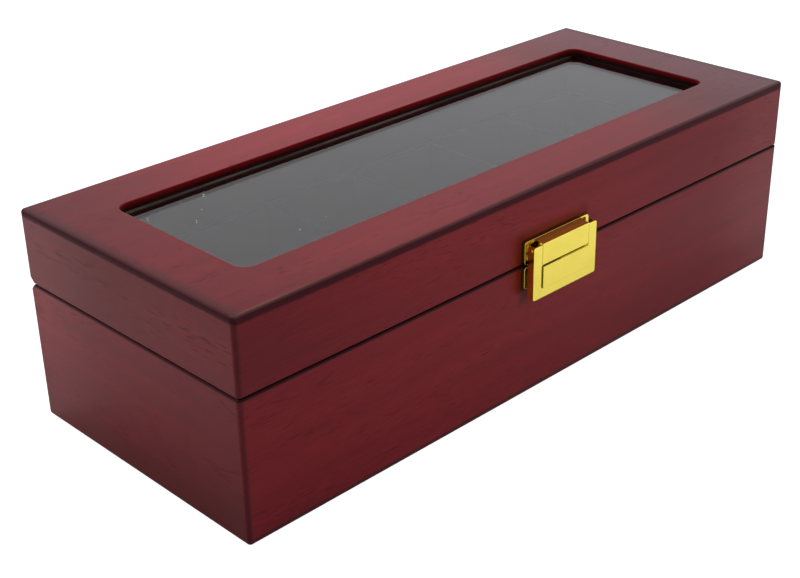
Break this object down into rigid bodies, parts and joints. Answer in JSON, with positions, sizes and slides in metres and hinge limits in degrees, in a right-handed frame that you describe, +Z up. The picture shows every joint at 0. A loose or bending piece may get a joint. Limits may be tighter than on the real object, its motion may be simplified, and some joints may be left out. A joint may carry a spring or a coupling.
{
  "type": "watch display box",
  "caption": "Long wooden watch box with a hinged glazed lid, velvet-lined cushioned compartments and a sprung flap latch on the front.",
  "frame": {"origin": "middle of the underside, on the surface the box stands on", "axes": "+X along the box to the right seen from the front, -Y out of the latch side, +Z up"},
  "size_m": [0.32, 0.1345, 0.0906],
  "materials": {
    "cherry_stained_wood": "satin lacquer over a red cherry stain, darker along the edges",
    "plain_board": "black-brown stained board, matt",
    "black_felt": "thin pressed felt",
    "black_velvet": "short velvet pile over card",
    "cushion_velvet": "short velvet pile over a soft filling",
    "clear_glass": "clear float glass",
    "polished_brass": "polished gold plate",
    "hinge_brass": "satin brass plate",
    "spring_steel": "bright spring strip"
  },
  "bodies": {
    "base": {"base_front_board": "cherry_stained_wood", "base_back_board": "cherry_stained_wood", "base_left_board": "cherry_stained_wood", "base_right_board": "cherry_stained_wood", "base_panel": "plain_board", "underside_felt": "black_felt", "tray_floor": "black_velvet", "tray_liner_front": "black_velvet", "tray_liner_back": "black_velvet", "tray_liner_left": "black_velvet", "tray_liner_right": "black_velvet", "divider_1": "black_velvet", "divider_2": "black_velvet", "divider_3": "black_velvet", "divider_4": "black_velvet", "divider_5": "black_velvet", "cushion_1": "cushion_velvet", "cushion_2": "cushion_velvet", "cushion_3": "cushion_velvet", "cushion_4": "cushion_velvet", "cushion_5": "cushion_velvet", "cushion_6": "cushion_velvet", "hinge_base_leaf_left": "hinge_brass", "hinge_base_leaf_right": "hinge_brass", "hinge_pin_left": "hinge_brass", "hinge_pin_right": "hinge_brass", "hinge_base_screws": "hinge_brass", "latch_base_plate": "polished_brass", "latch_base_screws": "polished_brass"},
    "lid": {"lid_front_board": "cherry_stained_wood", "lid_back_board": "cherry_stained_wood", "lid_left_board": "cherry_stained_wood", "lid_right_board": "cherry_stained_wood", "lid_top_panel": "cherry_stained_wood", "glass_pane": "clear_glass", "glass_bead_front": "plain_board", "glass_bead_back": "plain_board", "glass_bead_left": "plain_board", "glass_bead_right": "plain_board", "lid_ceiling_liner": "black_velvet", "lid_liner_front": "black_velvet", "lid_liner_back": "black_velvet", "lid_liner_left": "black_velvet", "lid_liner_right": "black_velvet", "hinge_lid_leaf_left": "hinge_brass", "hinge_lid_leaf_right": "hinge_brass", "hinge_lid_screws": "hinge_brass", "latch_lid_plate": "polished_brass", "latch_lid_screws": "polished_brass", "latch_pin": "polished_brass"},
    "latch_flap": {"latch_flap": "polished_brass", "latch_spring_clip": "spring_steel", "latch_clip_rivets": "polished_brass"}
  },
  "joints": [
    {"name": "lid_hinge", "type": "hinge", "parent": "base", "child": "lid", "pos_m": [0, 0.0612, 0.05985], "axis": [-1, 0, 0], "range_deg": [0, 96]},
    {"name": "latch_flap_hinge", "type": "hinge", "parent": "lid", "child": "latch_flap", "pos_m": [0, -0.0684, 0.06715], "axis": [-1, 0, 0], "range_deg": [0, 110], "deforming": ["latch_spring_clip"]}
  ]
}
